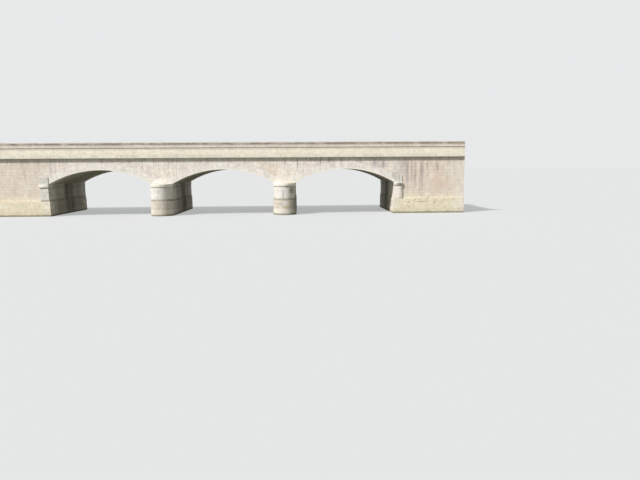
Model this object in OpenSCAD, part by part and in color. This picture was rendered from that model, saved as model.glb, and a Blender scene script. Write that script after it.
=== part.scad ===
// Road bridge of three flat segmental stone arches on two round-nosed river piers.
// Millimetres. X runs along the road, Y across it, Z up from the water level.
// The origin lies at water level, under the crown of the middle arch.

/* [Arches] */
// Clear width of each arch at its springing line
clear_span = 8040; // [6500:10:8200]
// Rise of the soffit from the springing line to the crown
arch_rise = 1100; // [800:10:1600]
// Depth of the arch stones, measured along the radius
ring_depth = 550; // [400:10:700]
// Wall left over the crown, from the ring to the string course
crown_cover = 360; // [200:10:700]

/* [Piers] */
// Width of a pier between the springing lines of two arches
pier_w = 1730; // [1400:10:2400]
// Height of the springing line above the water
springing_h = 2530; // [1900:10:3500]
// Lean of the pier and abutment faces, in millimetres for each metre of height
batter = 11; // [0:1:40]
// Height of the plinth course above the water
plinth_h = 1200; // [400:20:1500]
// Ledge of the plinth in front of the wall above it
plinth_ledge = 40; // [20:5:120]
// Height of a cutwater cap at its rim
cap_h = 260; // [160:10:360]
// Overhang of a cutwater cap past the shaft below it
cap_overhang = 25; // [10:5:120]
// Bevel along the lower and upper edge of a cap
cap_bevel = 20; // [5:5:30]
// Fall of the cap's top from the wall to its rim
cap_fall = 90; // [40:10:200]

/* [Abutments] */
// Length of each abutment, from its face to the end of the bridge
abutment_len = 5740; // [4000:10:6000]
// Thickness of the solid masonry behind an abutment's face
abutment_t = 2200; // [1200:50:3000]
// Width of the corner pilaster on an abutment
pilaster_w = 640; // [400:10:1000]
// Projection of the pilaster in front of the wall
pilaster_proj = 90; // [40:5:200]
// Overhang of the pilaster's cap, in front and on the side away from the arch
pilaster_cap_overhang = 90; // [40:5:160]
// Height of the raised springer stone on a pilaster's cap
springer_h = 560; // [300:10:700]
// Projection of the springer stone in front of the wall
springer_proj = 50; // [20:5:80]

/* [Walls] */
// Width of the bridge between the outer faces of its walls
bridge_w = 7000; // [5000:50:9000]
// Thickness of the spandrel and return walls
wall_t = 600; // [450:10:900]

/* [String course and parapet] */
// Height of the string course
string_h = 300; // [200:10:400]
// Projection of the string course in front of the wall
string_proj = 140; // [60:5:220]
// Bevel along the upper edge of the string course
string_bevel = 30; // [10:5:60]
// Thickness of the parapet wall
parapet_t = 400; // [300:10:440]
// Height of the parapet wall between the string course and its coping
parapet_h = 530; // [350:10:700]
// Projection of the coping on each side of the parapet
coping_proj = 30; // [20:5:120]
// Height of the coping's upright edge
coping_edge = 200; // [80:5:250]
// Rise of the coping's round back above its edge
coping_rise = 230; // [100:10:290]

/* [Road] */
// Width of the carriageway between the kerbs
carriageway_w = 4600; // [3000:50:5000]
// Rise of the carriageway from the kerb to its middle
camber = 60; // [30:5:120]
// Width of a kerb stone
kerb_w = 150; // [100:10:250]
// Height of the kerb above the edge of the carriageway
kerb_h = 120; // [80:5:160]
// Bevel along the kerb's edge on the road side
kerb_bevel = 20; // [5:5:40]
// Thickness of the footway's flagstones over the string course
flag_t = 60; // [40:5:100]

/* [Hidden] */

// Sides of a full circle, fine enough for the widest arcs
fine = 720;
// Cutters reach this far past the faces that they cut
past = 10;
// Strips that make up the carriageway's cambered surface
camber_strips = 16;

// Arch geometry: each soffit is a circle segment
arch_pitch = clear_span + pier_w;
soffit_r = (clear_span * clear_span / 4 + arch_rise * arch_rise) / (2 * arch_rise);
extrados_r = soffit_r + ring_depth;
arch_centre_z = springing_h + arch_rise - soffit_r;
springing_angle = asin(clear_span / 2 / soffit_r);
// The skewback is the sloping bed that carries the foot of each ring
skew_run = ring_depth * sin(springing_angle);
skew_top = springing_h + ring_depth * cos(springing_angle);

// Places along the road
abutment_x = arch_pitch + clear_span / 2;
end_x = abutment_x + abutment_len;

// Places across the road
half_w = bridge_w / 2;
inner_w = half_w - wall_t;
parapet_in = half_w - parapet_t;
kerb_out = carriageway_w / 2 + kerb_w;

// Levels
string_z = springing_h + arch_rise + ring_depth + crown_cover;
parapet_z = string_z + string_h;
coping_z = parapet_z + parapet_h;
footway_z = parapet_z + flag_t;
gutter_z = footway_z - kerb_h;
cap_z = springing_h - cap_h;

// Half the width of a pier's shaft, and of its plinth, at a height above the water
function shaft_half(z) = pier_w / 2 + (springing_h - z) * batter / 1000;
function plinth_half(z) = shaft_half(z) + plinth_ledge;
// The face of an abutment leans as a pier's does
function face_x(z) = abutment_x - (springing_h - z) * batter / 1000;

// Extrudes an elevation, drawn in X and Z, across the road from y0 to y1
module across(y0, y1) {
    translate([0, y1, 0])
        rotate([90, 0, 0])
            linear_extrude(height = y1 - y0)
                children();
}

// Extrudes a cross-section, drawn in Y and Z, along the road from x0 to x1
module along(x0, x1) {
    translate([x0, 0, 0])
        rotate([90, 0, 90])
            linear_extrude(height = x1 - x0)
                children();
}

// Children at both faces of the bridge, front and back
module both_faces() {
    children();
    mirror([0, 1, 0])
        children();
}

// Children at the side that is asked for, -1 for left and 1 for right
module at_side(side) {
    mirror([side < 0 ? 1 : 0, 0, 0])
        children();
}

// Children at the front, -1, or at the back, 1
module at_face(face) {
    mirror([0, face > 0 ? 1 : 0, 0])
        children();
}

// Elevation of a full disc about an arch's centre; arches are -1, 0 and 1
module arch_disc(arch, r) {
    translate([arch * arch_pitch, arch_centre_z])
        circle(r = r, $fn = fine);
}

// Elevation of an arch's ring between its two skewbacks
module ring_outline(arch) {
    reach = 2 * extrados_r;
    difference() {
        intersection() {
            arch_disc(arch, extrados_r);
            translate([arch * arch_pitch, arch_centre_z])
                polygon([
                    [0, 0],
                    [reach * sin(springing_angle), reach * cos(springing_angle)],
                    [-reach * sin(springing_angle), reach * cos(springing_angle)]
                ]);
        }
        arch_disc(arch, soffit_r);
    }
}

// Elevation of the wall over the right pier, from crown to crown
module pier_spandrel_outline() {
    difference() {
        translate([0, skew_top])
            square([arch_pitch, string_z - skew_top]);
        arch_disc(0, extrados_r);
        arch_disc(1, extrados_r);
    }
}

// Elevation of the wall over the right abutment, from the crown to the bridge's end
module end_spandrel_outline() {
    difference() {
        translate([arch_pitch, skew_top])
            square([end_x - arch_pitch, string_z - skew_top]);
        arch_disc(1, extrados_r);
    }
}

// Boat-shaped pier body with round noses, battered all round
module nosed_body(half_low, half_high, z_low, z_high) {
    across(-half_w, half_w)
        polygon([
            [-half_low, z_low],
            [half_low, z_low],
            [half_high, z_high],
            [-half_high, z_high]
        ]);
    both_faces()
        translate([0, -half_w, 0])
            rotate([0, 0, 180])
                rotate_extrude(angle = 180, $fn = fine)
                    polygon([
                        [0, z_low],
                        [half_low, z_low],
                        [half_high, z_high],
                        [0, z_high]
                    ]);
}

// Bevelled section of a cap: it starts at the wall, and the stone below reaches out to seat
module cap_section(seat, overhang) {
    rim = seat + overhang;
    polygon([
        [0, cap_z],
        [rim - cap_bevel, cap_z],
        [rim, cap_z + cap_bevel],
        [rim, springing_h - cap_bevel],
        [rim - cap_bevel, springing_h],
        [0, springing_h + cap_fall]
    ]);
}

// Piers

module pier_plinth(side) {
    color("#d3c9b4")
        translate([side * arch_pitch / 2, 0, 0])
            nosed_body(plinth_half(0), plinth_half(plinth_h), 0, plinth_h);
}

// The shaft's noses stop under the caps; its middle goes on up to the springing line
module pier_shaft(side) {
    color("#e6dfcf")
        translate([side * arch_pitch / 2, 0, 0]) {
            nosed_body(shaft_half(plinth_h), shaft_half(cap_z), plinth_h, cap_z);
            across(-half_w, half_w)
                polygon([
                    [-shaft_half(cap_z), cap_z],
                    [shaft_half(cap_z), cap_z],
                    [pier_w / 2, springing_h],
                    [-pier_w / 2, springing_h]
                ]);
        }
}

module pier_caps(side) {
    color("#d9d1bf")
        translate([side * arch_pitch / 2, 0, 0])
            both_faces()
                translate([0, -half_w, 0])
                    rotate([0, 0, 180])
                        rotate_extrude(angle = 180, $fn = fine)
                            cap_section(shaft_half(cap_z), cap_overhang);
}

// Block between the feet of two rings, with a skewback on each side
module pier_saddle(side) {
    color("#e2d8c8")
        translate([side * arch_pitch / 2, 0, 0])
            across(-half_w, half_w)
                polygon([
                    [-pier_w / 2, springing_h],
                    [pier_w / 2, springing_h],
                    [pier_w / 2 - skew_run, skew_top],
                    [-pier_w / 2 + skew_run, skew_top]
                ]);
}

// Abutments

// The plinth runs under the whole abutment and steps out below the pilasters
module abutment_plinth(side) {
    color("#cfc3a8")
        at_side(side) {
            across(-half_w - plinth_ledge, half_w + plinth_ledge)
                polygon([
                    [face_x(0) - plinth_ledge, 0],
                    [end_x, 0],
                    [end_x, plinth_h],
                    [face_x(plinth_h) - plinth_ledge, plinth_h]
                ]);
            both_faces()
                across(-half_w - pilaster_proj - plinth_ledge, -half_w - plinth_ledge)
                    polygon([
                        [face_x(0) - plinth_ledge, 0],
                        [abutment_x + pilaster_w + plinth_ledge, 0],
                        [abutment_x + pilaster_w + plinth_ledge, plinth_h],
                        [face_x(plinth_h) - plinth_ledge, plinth_h]
                    ]);
        }
}

// Solid face masonry with the two return walls behind it, and the skewback on top
module abutment_body(side) {
    color("#ddd0ba")
        at_side(side)
            difference() {
                across(-half_w, half_w)
                    polygon([
                        [face_x(plinth_h), plinth_h],
                        [end_x, plinth_h],
                        [end_x, skew_top],
                        [abutment_x + skew_run, skew_top],
                        [abutment_x, springing_h]
                    ]);
                translate([abutment_x + abutment_t, -inner_w, plinth_h - past])
                    cube([abutment_len - abutment_t + past, 2 * inner_w, skew_top - plinth_h + 2 * past]);
            }
}

// Rubble between the return walls, seen at the end of the bridge
module abutment_fill(side) {
    color("#a39780")
        at_side(side)
            translate([abutment_x + abutment_t, -inner_w, plinth_h])
                cube([abutment_len - abutment_t, 2 * inner_w, skew_top - plinth_h]);
}

// Corner pilaster below the cap, and the raised springer stone on the cap
module abutment_pilasters(side) {
    color("#e4dccb")
        at_side(side)
            both_faces() {
                across(-half_w - pilaster_proj, -half_w)
                    polygon([
                        [face_x(plinth_h), plinth_h],
                        [abutment_x + pilaster_w, plinth_h],
                        [abutment_x + pilaster_w, cap_z],
                        [face_x(cap_z), cap_z]
                    ]);
                across(-half_w - springer_proj, -half_w)
                    difference() {
                        translate([abutment_x, springing_h])
                            square([pilaster_w, springer_h]);
                        arch_disc(1, soffit_r);
                    }
            }
}

module abutment_caps(side) {
    color("#d9d1bf")
        at_side(side)
            both_faces()
                along(abutment_x - cap_overhang, abutment_x + pilaster_w + pilaster_cap_overhang)
                    translate([-half_w, 0])
                        mirror([1, 0])
                            pilaster_cap_section();
}

// The cap is cut level where the springer stone stands on it
module pilaster_cap_section() {
    difference() {
        cap_section(pilaster_proj, pilaster_cap_overhang);
        translate([-past, springing_h])
            square([pilaster_proj + pilaster_cap_overhang + 2 * past, cap_fall + past]);
    }
}

// Arches

module arch_barrel(arch) {
    color("#c9bda6")
        across(-inner_w, inner_w)
            ring_outline(arch);
}

// Cut-stone rings at the front and back edge of the barrel
module arch_rings(arch) {
    color("#ece5d6")
        both_faces()
            across(-half_w, -inner_w)
                ring_outline(arch);
}

// Spandrels and the rubble between them

module pier_spandrel(side, face) {
    color("#e6dccb")
        at_side(side)
            at_face(face)
                across(-half_w, -inner_w)
                    pier_spandrel_outline();
}

module end_spandrel(side, face) {
    color("#e0d3bf")
        at_side(side)
            at_face(face)
                across(-half_w, -inner_w)
                    end_spandrel_outline();
}

module pier_hearting(side) {
    color("#a39780")
        at_side(side)
            across(-inner_w, inner_w)
                pier_spandrel_outline();
}

module end_hearting(side) {
    color("#a39780")
        at_side(side)
            across(-inner_w, inner_w)
                end_spandrel_outline();
}

// String course, parapet and coping run the whole length of the bridge

module string_course(face) {
    color("#d8cebd")
        at_face(face)
            along(-end_x, end_x)
                polygon([
                    [-inner_w, string_z],
                    [-half_w - string_proj, string_z],
                    [-half_w - string_proj, parapet_z - string_bevel],
                    [-half_w - string_proj + string_bevel, parapet_z],
                    [-inner_w, parapet_z]
                ]);
}

module parapet(face) {
    color("#ebe1cd")
        at_face(face)
            along(-end_x, end_x)
                translate([-half_w, parapet_z])
                    square([parapet_t, parapet_h]);
}

// Upright edge with a round back, wider than the wall by its projection on each side
module coping(face) {
    half = parapet_t / 2 + coping_proj;
    back_r = (half * half + coping_rise * coping_rise) / (2 * coping_rise);
    shoulder_z = coping_z + coping_edge;
    color("#b8ab98")
        at_face(face)
            along(-end_x, end_x)
                translate([-half_w + parapet_t / 2, 0]) {
                    translate([-half, coping_z])
                        square([2 * half, coping_edge]);
                    intersection() {
                        translate([0, shoulder_z + coping_rise - back_r])
                            circle(r = back_r, $fn = fine);
                        translate([-half, shoulder_z])
                            square([2 * half, coping_rise + past]);
                    }
                }
}

// Road

// The section rises to the middle on a parabola, in even strips
module carriageway() {
    half = carriageway_w / 2;
    strip = carriageway_w / camber_strips;
    color("#8d8a83")
        along(-end_x, end_x)
            polygon([
                [-half, string_z],
                for (i = [0:camber_strips])
                    let (y = -half + i * strip)
                        [y, gutter_z + camber * (1 - pow(y / half, 2))],
                [half, string_z]
            ]);
}

module kerbs() {
    edge = carriageway_w / 2;
    color("#bdb6a8")
        both_faces()
            along(-end_x, end_x)
                polygon([
                    [-edge, string_z],
                    [-kerb_out, string_z],
                    [-kerb_out, footway_z],
                    [-edge - kerb_bevel, footway_z],
                    [-edge, footway_z - kerb_bevel]
                ]);
}

// Flagstones on their bed, lapping over the inner edge of the string course
module footways() {
    color("#b5ad9c")
        both_faces()
            along(-end_x, end_x)
                polygon([
                    [-kerb_out, string_z],
                    [-inner_w, string_z],
                    [-inner_w, parapet_z],
                    [-parapet_in, parapet_z],
                    [-parapet_in, footway_z],
                    [-kerb_out, footway_z]
                ]);
}

pier_plinth(-1);  // pier_left_plinth
pier_shaft(-1);  // pier_left_shaft
pier_caps(-1);  // pier_left_caps
pier_saddle(-1);  // pier_left_saddle
pier_plinth(1);  // pier_right_plinth
pier_shaft(1);  // pier_right_shaft
pier_caps(1);  // pier_right_caps
pier_saddle(1);  // pier_right_saddle
abutment_plinth(-1);  // abutment_left_plinth
abutment_body(-1);  // abutment_left_body
abutment_fill(-1);  // abutment_left_fill
abutment_pilasters(-1);  // abutment_left_pilasters
abutment_caps(-1);  // abutment_left_caps
abutment_plinth(1);  // abutment_right_plinth
abutment_body(1);  // abutment_right_body
abutment_fill(1);  // abutment_right_fill
abutment_pilasters(1);  // abutment_right_pilasters
abutment_caps(1);  // abutment_right_caps
arch_barrel(-1);  // arch_left_barrel
arch_barrel(0);  // arch_middle_barrel
arch_barrel(1);  // arch_right_barrel
arch_rings(-1);  // arch_left_rings
arch_rings(0);  // arch_middle_rings
arch_rings(1);  // arch_right_rings
pier_spandrel(-1, -1);  // spandrel_left_pier_front
pier_spandrel(-1, 1);  // spandrel_left_pier_back
pier_spandrel(1, -1);  // spandrel_right_pier_front
pier_spandrel(1, 1);  // spandrel_right_pier_back
end_spandrel(-1, -1);  // spandrel_left_end_front
end_spandrel(-1, 1);  // spandrel_left_end_back
end_spandrel(1, -1);  // spandrel_right_end_front
end_spandrel(1, 1);  // spandrel_right_end_back
pier_hearting(-1);  // hearting_left_pier
pier_hearting(1);  // hearting_right_pier
end_hearting(-1);  // hearting_left_end
end_hearting(1);  // hearting_right_end
string_course(-1);  // string_course_front
string_course(1);  // string_course_back
parapet(-1);  // parapet_front
parapet(1);  // parapet_back
coping(-1);  // coping_front
coping(1);  // coping_back
carriageway();
kerbs();
footways();
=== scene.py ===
"""Dresses a stone road bridge: every wall is laid stone by stone, on the solids of the frame."""

from math import atan2, copysign, cos, hypot, pi, radians, sin, sqrt

import bpy
import numpy as np
from mathutils import Matrix, Vector


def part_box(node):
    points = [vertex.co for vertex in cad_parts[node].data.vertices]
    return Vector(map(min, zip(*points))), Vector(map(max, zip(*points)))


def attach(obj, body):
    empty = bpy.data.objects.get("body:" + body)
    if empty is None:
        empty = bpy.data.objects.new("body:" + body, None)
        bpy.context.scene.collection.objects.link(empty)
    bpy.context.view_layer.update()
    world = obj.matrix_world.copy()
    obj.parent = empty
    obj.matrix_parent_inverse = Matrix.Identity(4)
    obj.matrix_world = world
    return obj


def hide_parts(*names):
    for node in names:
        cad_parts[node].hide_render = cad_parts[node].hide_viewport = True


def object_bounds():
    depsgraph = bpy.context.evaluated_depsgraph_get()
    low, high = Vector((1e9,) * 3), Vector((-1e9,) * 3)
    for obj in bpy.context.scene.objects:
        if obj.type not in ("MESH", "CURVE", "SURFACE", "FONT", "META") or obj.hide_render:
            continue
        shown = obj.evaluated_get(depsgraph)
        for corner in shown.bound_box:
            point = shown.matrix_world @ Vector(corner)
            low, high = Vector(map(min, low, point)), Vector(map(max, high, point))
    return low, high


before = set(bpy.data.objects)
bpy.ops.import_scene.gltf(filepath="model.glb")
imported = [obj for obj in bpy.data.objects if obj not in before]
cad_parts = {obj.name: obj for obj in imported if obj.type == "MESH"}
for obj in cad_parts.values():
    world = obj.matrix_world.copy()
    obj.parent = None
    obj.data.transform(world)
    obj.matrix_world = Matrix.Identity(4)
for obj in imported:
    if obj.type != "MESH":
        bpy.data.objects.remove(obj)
cad_low, cad_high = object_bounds()

# Sizes of the bridge, read from the frame, in metres


def reach(node, axis, above):
    """How far a node reaches from the middle of the bridge along an axis, above a height."""
    return max(abs(v.co[axis]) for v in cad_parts[node].data.vertices if v.co.z > above)


END_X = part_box("parapet_front")[1].x
HALF_W = -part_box("spandrel_right_pier_front")[0].y
INNER_W = -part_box("spandrel_right_pier_front")[1].y
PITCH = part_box("spandrel_right_pier_front")[1].x
SKEW_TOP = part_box("spandrel_right_pier_front")[0].z
STRING_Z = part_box("string_course_front")[0].z
STRING_OUT = -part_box("string_course_front")[0].y
PARAPET_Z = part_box("parapet_front")[0].z
PARAPET_IN = -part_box("parapet_front")[1].y
COPING_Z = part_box("coping_front")[0].z
TOP_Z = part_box("coping_front")[1].z
COPING_OUT = -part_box("coping_front")[0].y
COPING_IN = -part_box("coping_front")[1].y
SPRINGING_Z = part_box("pier_right_saddle")[0].z
PIER_X = PITCH / 2
PIER_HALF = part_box("pier_right_saddle")[1].x - PIER_X
SPAN = PITCH - 2 * PIER_HALF
PLINTH_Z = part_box("pier_right_plinth")[1].z
ABUTMENT_X = PITCH + SPAN / 2
FOOTWAY_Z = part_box("footways")[1].z
KERB_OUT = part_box("kerbs")[1].y
KERB_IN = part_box("carriageway")[1].y
# The way round a pier's nose, and along its flank
NOSE_RUN = pi * PIER_HALF
FLANK_RUN = 2 * HALF_W

# The skewback's run and rise give the arch its angle, depth and radius
SKEW_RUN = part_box("arch_middle_rings")[1].x - SPAN / 2
SKEW_RISE = SKEW_TOP - SPRINGING_Z
RING_DEPTH = hypot(SKEW_RUN, SKEW_RISE)
ARCH_ANGLE = atan2(SKEW_RUN, SKEW_RISE)
SOFFIT_R = SPAN / 2 / sin(ARCH_ANGLE)
EXTRADOS_R = SOFFIT_R + RING_DEPTH
ARCH_Z = SPRINGING_Z - SOFFIT_R * cos(ARCH_ANGLE)

# Batter of the piers and abutments, and the ledge of their plinths
BATTER = (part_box("pier_right_shaft")[1].x - PIER_X - PIER_HALF) / (SPRINGING_Z - PLINTH_Z)
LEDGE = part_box("pier_right_plinth")[1].x - PIER_X - PIER_HALF - SPRINGING_Z * BATTER
CAP_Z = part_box("abutment_right_caps")[0].z
CAP_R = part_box("pier_right_caps")[1].x - PIER_X
PILASTER_OUT = -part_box("abutment_right_plinth")[0].y - LEDGE
PILASTER_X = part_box("abutment_right_pilasters")[1].x
# In the photo, the foot of the wall and that of the pilaster seem to lie in one plane
PLINTH_OUT = PILASTER_OUT + 0.01
SPRINGER_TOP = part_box("abutment_right_pilasters")[1].z
SPRINGER_OUT = reach("abutment_right_pilasters", 1, above=(SPRINGING_Z + SPRINGER_TOP) / 2)

# Masonry
FINE_JOINT = 0.006
JOINT = 0.008
WIDE_JOINT = 0.010
# How far the pointing lies behind the faces of the stones
RECESS = 0.004
STONE_DEPTH = 0.16
BLOCK_DEPTH = 0.20
# Edge widths of the stones
ARRIS = 0.005
RUBBLE_ARRIS = 0.008
CAP_ARRIS = 0.006
CHAMFER = 0.03
# Lengths of the corner stones at the bridge's ends, by turns
QUOIN_LONG = 1.15
QUOIN_SHORT = 0.75

SIDES = {"left": -1, "right": 1}
FACES = {"front": -1, "back": 1}
ARCHES = {"left": -1, "middle": 0, "right": 1}


# Shader maths


class Shade:
    """A socket in a finish's nodes. Arithmetic on it adds Math nodes."""

    def __init__(self, finish, socket):
        self.finish = finish
        self.socket = socket

    def __add__(self, other):
        return self.finish.math("ADD", self, other)

    def __radd__(self, other):
        return self.finish.math("ADD", other, self)

    def __sub__(self, other):
        return self.finish.math("SUBTRACT", self, other)

    def __rsub__(self, other):
        return self.finish.math("SUBTRACT", other, self)

    def __mul__(self, other):
        return self.finish.math("MULTIPLY", self, other)

    def __rmul__(self, other):
        return self.finish.math("MULTIPLY", other, self)

    def __truediv__(self, other):
        return self.finish.math("DIVIDE", self, other)


class Finish:
    """A material with one Principled shader, and short ways to feed it."""

    def __init__(self, name, **constants):
        self.material = bpy.data.materials.new(name)
        self.material.use_nodes = True
        self.tree = self.material.node_tree
        self.shader = self.tree.nodes["Principled BSDF"]
        for socket, value in constants.items():
            self.shader.inputs[socket.replace("_", " ")].default_value = value

    def node(self, kind, settings=None, output=0, inputs=None):
        """Adds a node: its settings first, then the values or links of its sockets."""
        made = self.tree.nodes.new("ShaderNode" + kind)
        for key, value in (settings or {}).items():
            setattr(made, key, value)
        for key, value in (inputs or {}).items():
            self.plug(made.inputs[key], value)
        return Shade(self, made.outputs[output])

    def plug(self, socket, value):
        if isinstance(value, Shade):
            self.tree.links.new(value.socket, socket)
        else:
            socket.default_value = value

    def math(self, operation, *values):
        return self.node("Math", {"operation": operation}, inputs=dict(enumerate(values)))

    def mix(self, factor, first, second):
        """Blends two colours; a colour is a tuple of three or a link."""
        first, second = (c if isinstance(c, Shade) else (*c, 1.0) for c in (first, second))
        settings = {"data_type": "RGBA", "clamp_factor": True}
        return self.node("Mix", settings, output=2, inputs={0: factor, 6: first, 7: second})

    def multiply(self, colour, value):
        """Darkens or lightens a colour by a number that varies."""
        grey = self.node("CombineColor", inputs={0: value, 1: value, 2: value})
        settings = {"data_type": "RGBA", "blend_type": "MULTIPLY"}
        return self.node("Mix", settings, output=2, inputs={0: 1.0, 6: colour, 7: grey})

    def place(self):
        """The point on the piece, in metres, in the bridge's own frame."""
        return self.node("TexCoord", output="Object")

    def parts(self, vector):
        """The X, Y and Z of a vector."""
        split = self.tree.nodes.new("ShaderNodeSeparateXYZ")
        self.plug(split.inputs[0], vector)
        return [Shade(self, socket) for socket in split.outputs]

    def height(self, vector):
        return self.parts(vector)[2]

    def absolute(self, value):
        return self.math("ABSOLUTE", value)

    def stretch(self, vector, x, y, z):
        settings = {"operation": "MULTIPLY"}
        return self.node("VectorMath", settings, inputs={0: vector, 1: (x, y, z)})

    def shift(self, vector, offset):
        return self.node("VectorMath", {"operation": "ADD"}, inputs={0: vector, 1: offset})

    def length(self, vector):
        return self.node("VectorMath", {"operation": "LENGTH"}, output="Value", inputs={0: vector})

    def noise(self, vector, scale, detail=3.0, roughness=0.55):
        inputs = {"Vector": vector, "Scale": scale, "Detail": detail, "Roughness": roughness}
        return self.node("TexNoise", inputs=inputs)

    def streaks(self, vector, across, up, detail=3.0, roughness=0.55):
        """Noise with one fineness along and across the bridge, and another upwards."""
        return self.noise(self.stretch(vector, across, across, up), 1.0, detail, roughness)

    def ramp(self, value, low, high):
        """0 below low, 1 above high, smooth between; it falls where low is above high."""
        if low > high:
            return 1 - self.ramp(value, high, low)
        inputs = {"Value": value, "From Min": low, "From Max": high}
        return self.node("MapRange", {"interpolation_type": "SMOOTHSTEP"}, inputs=inputs)

    def attribute(self, name):
        return self.node("Attribute", {"attribute_name": name}, output="Fac")

    def bump(self, height, distance):
        inputs = {"Height": height, "Distance": distance}
        self.plug(self.shader.inputs["Normal"], self.node("Bump", inputs=inputs))

    def colour(self, value):
        self.plug(self.shader.inputs["Base Color"], value)

    def roughness(self, value):
        self.plug(self.shader.inputs["Roughness"], value)


# Weathering: marks that a finish lays over the colour of its stone

SOOT = (0.36, 0.32, 0.315)
SLIME = (0.13, 0.125, 0.07)


def weathering(lay_over):
    """Lets a mark take its own values first, and the finish, the point and the colour later."""
    def with_values(*values, **settings):
        return lambda f, at, stone: lay_over(f, at, stone, *values, **settings)
    return with_values


def on_front(f, at):
    """1 on the front half of the bridge and 0 on the back."""
    return f.ramp(f.parts(at)[1], 0.5, -0.5)


@weathering
def run_off(f, at, stone, top, fall, strength):
    """Streaks of rain and soot that start under a ledge and thin out over their fall; just under the
    ledge, soot and painted shadow.
    """
    z = f.height(at)
    broad = f.streaks(at, 2.6, 0.12, roughness=0.6)
    fine = f.streaks(at, 10.4, 0.35, detail=2.0)
    falling = f.ramp(z, top - fall, top)
    wet = f.ramp(broad * 0.7 + fine * 0.3 + falling * 0.1, 0.55, 0.72)
    # Soot, and painted shadow that lengthens the ledge's own, just under the ledge
    lip_soot_and_shadow = f.ramp(z, top - 0.2, top - 0.02)
    return f.mix((wet * falling * 0.8 + lip_soot_and_shadow * 0.3) * strength, stone, SOOT)


@weathering
def drips(f, at, stone, top, fall, strength):
    """Fine tears of rain below a ledge, some grey and some limy white."""
    fine = f.streaks(at, 8.0, 0.5, detail=4.0, roughness=0.6)
    falling = f.ramp(f.height(at), top - fall, top - fall * 0.3) * strength
    stone = f.mix(f.ramp(fine, 0.52, 0.68) * falling, stone, (0.54, 0.48, 0.47))
    return f.mix(f.ramp(fine, 0.46, 0.32) * falling, stone, (0.93, 0.89, 0.86))


@weathering
def front_marks(f, at, stone, marks, strength):
    """Single run-off marks on the front: the place of each, its top, its bottom and its width."""
    x, _, z = f.parts(at)
    sway = f.streaks(at, 0.6, 1.6) - 0.5
    tears = f.streaks(at, 14.0, 0.7, roughness=0.6)
    cover = 0.0
    for place, top, bottom, width in marks:
        across = f.ramp(f.absolute(x + sway * 0.2 - place), width * 0.8, width * 0.2)
        fade_in = f.ramp(z, top + 0.1, top - 0.35)
        cover = cover + across * fade_in * f.ramp(z, bottom, bottom + (top - bottom) * 0.7)
    cover = cover * (0.35 + f.ramp(tears, 0.38, 0.60) * 0.9)
    return f.mix(cover * on_front(f, at) * strength, stone, SOOT)


@weathering
def front_patches(f, at, stone, patches, strength, colour, grain=2.2):
    """Soft patches on the front: the middle of each, and its half width and half height."""
    ragged = (f.noise(at, grain, detail=5.0, roughness=0.62) - 0.5) * 1.6
    cover = 0.0
    for x, z, wide, high in patches:
        away = f.stretch(f.shift(at, (-x, 0.0, -z)), 1 / wide, 0.0, 1 / high)
        cover = cover + f.ramp(f.length(away) + ragged, 1.25, 0.45)
    return f.mix(cover * on_front(f, at) * strength, stone, colour)


@weathering
def lichen(f, at, stone, cover, colour, strength):
    """Crusts in broken patches."""
    growth = f.noise(at, 3.1, detail=6.0, roughness=0.68)
    fine = f.noise(at, 18.6, detail=2.0)
    crust = f.ramp(growth * 0.7 + fine * 0.3, 0.68 - 0.34 * cover, 0.78 - 0.34 * cover)
    return f.mix(crust * strength, stone, colour)


@weathering
def band(f, at, stone, low, high, soft, strength, colour, broken):
    """Growth or grime along a level, between two heights; some bands are painted shadow under a
    ledge.
    """
    z = f.height(at)
    gaps = f.streaks(at, 1.7, 5.0, detail=5.0, roughness=0.65)
    along = f.ramp(z, low - soft, low) * f.ramp(z, high + soft, high)
    kept = (1 - broken) + f.ramp(gaps, 0.38, 0.58) * broken
    return f.mix(along * kept * strength, stone, colour)


@weathering
def spots(f, at, stone, low, high, strength, dark, pale, scale=4.0):
    """Ragged dark and pale spots between two heights, finer for a larger scale."""
    z = f.height(at)
    ragged = f.noise(f.shift(at, (9.0, 4.0, 31.0)), scale, detail=4.0, roughness=0.62)
    along = f.ramp(z, low - 0.1, low + 0.1) * f.ramp(z, high + 0.1, high - 0.1) * strength
    stone = f.mix(f.ramp(ragged, 0.54, 0.68) * along, stone, dark)
    return f.mix(f.ramp(ragged, 0.46, 0.32) * along, stone, pale)


@weathering
def dark_crest(f, at, stone, strength, colour):
    """Black lichen round the shoulder of the coping; it thins out down the face, in patches."""
    z = f.height(at)
    growth = f.streaks(at, 1.3, 3.0, detail=5.0, roughness=0.65)
    below_top = f.ramp(z, TOP_Z - 0.04, TOP_Z - 0.09)
    down_face = f.ramp(z, TOP_Z - 0.37, TOP_Z - 0.08)
    cover = below_top * down_face * (0.55 + f.ramp(growth, 0.36, 0.60) * 0.45)
    return f.mix(cover * strength, stone, colour)


@weathering
def water_line(f, at, stone, strength):
    """A dark slimy rim at the water, and a paler tide mark over it."""
    z = f.height(at)
    edge = f.streaks(at, 1.6, 0.7, detail=4.0)
    tide = f.ramp(z - edge * 0.5, 0.34, -0.14)
    slime = f.ramp(z - edge * 0.12, 0.13, 0.01)
    stone = f.mix(tide * 0.4 * strength, stone, (0.56, 0.50, 0.33))
    return f.mix(slime * 0.85 * strength, stone, SLIME)


@weathering
def washed_arris(f, at, stone):
    """The edge of an arch ring, washed clean where the rain drips off."""
    x, _, z = f.parts(at)
    x = x - f.math("ROUND", x / PITCH) * PITCH
    z = z - ARCH_Z
    radius = f.math("SQRT", x * x + z * z)
    clean = f.ramp(radius, SOFFIT_R + 0.16, SOFFIT_R + 0.03)
    return f.mix(clean * 0.8, stone, (0.92, 0.89, 0.81))


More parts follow.
